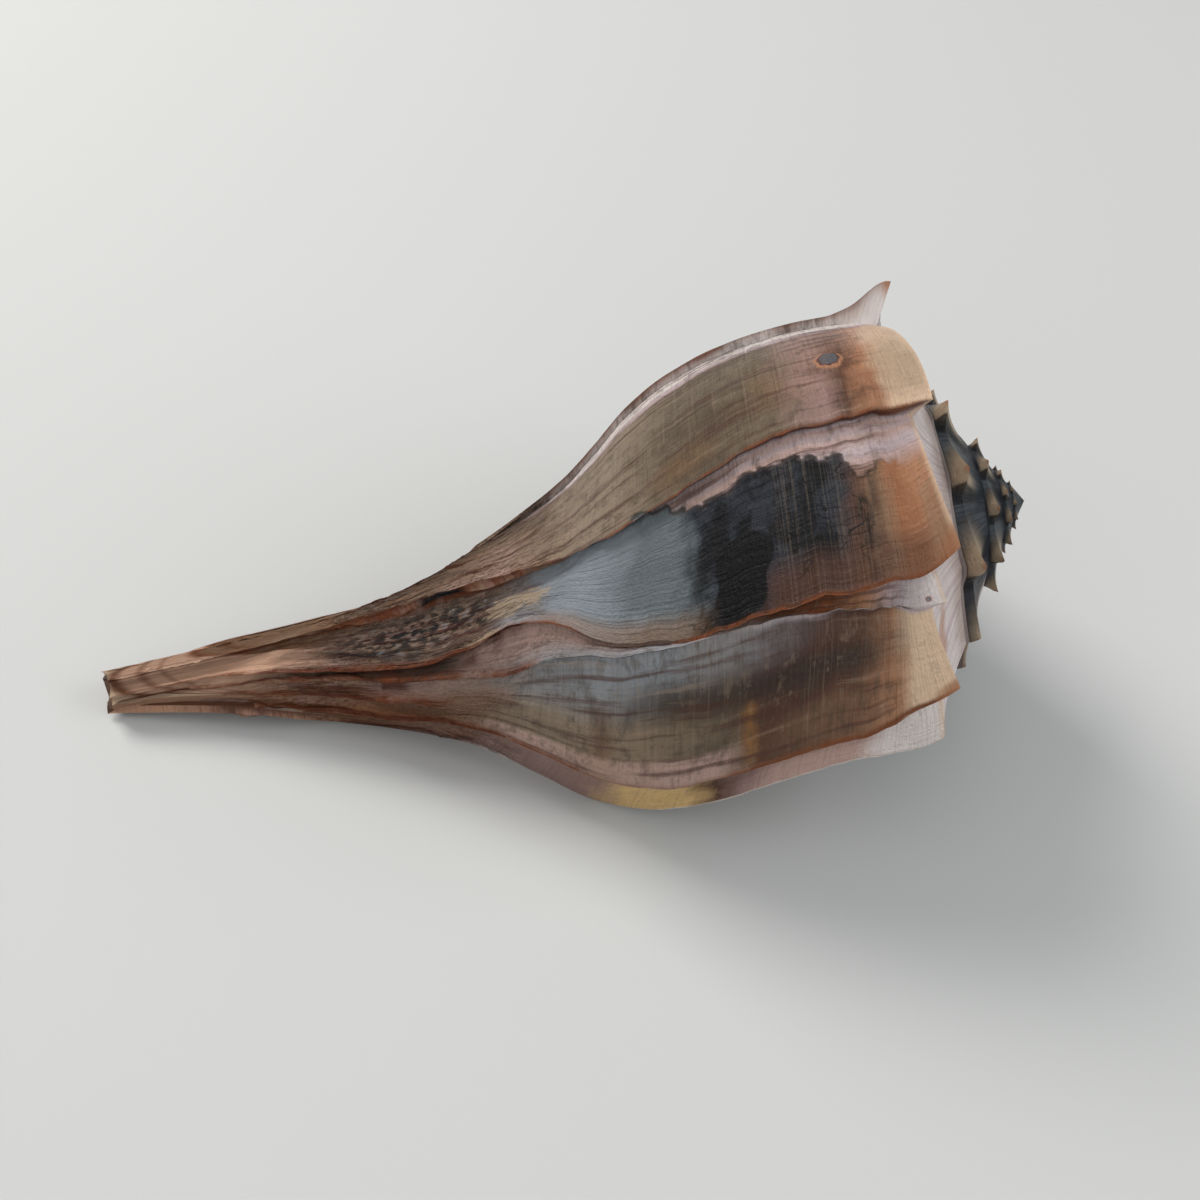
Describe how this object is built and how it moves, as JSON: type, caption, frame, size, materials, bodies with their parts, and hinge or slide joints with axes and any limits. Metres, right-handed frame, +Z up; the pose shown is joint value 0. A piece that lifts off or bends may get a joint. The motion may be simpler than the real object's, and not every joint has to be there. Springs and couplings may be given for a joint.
{
  "type": "lightning whelk shell",
  "caption": "Left-coiling whelk shell with a low knobbed spire, spined shoulder and long open canal; it lies on its aperture side.",
  "frame": {"origin": "centre of the bounding box's underside, which is the surface the shell lies on", "axes": "+X runs from the canal's tip to the spire, +Y from the lip's side to the far side, +Z up from the surface the shell lies on"},
  "size_m": [0.165, 0.0876, 0.0725],
  "materials": {
    "shell": "satin, worn, banded grey-brown, slate and cream"
  },
  "bodies": {
    "root": {"shell": "shell"}
  },
  "joints": []
}
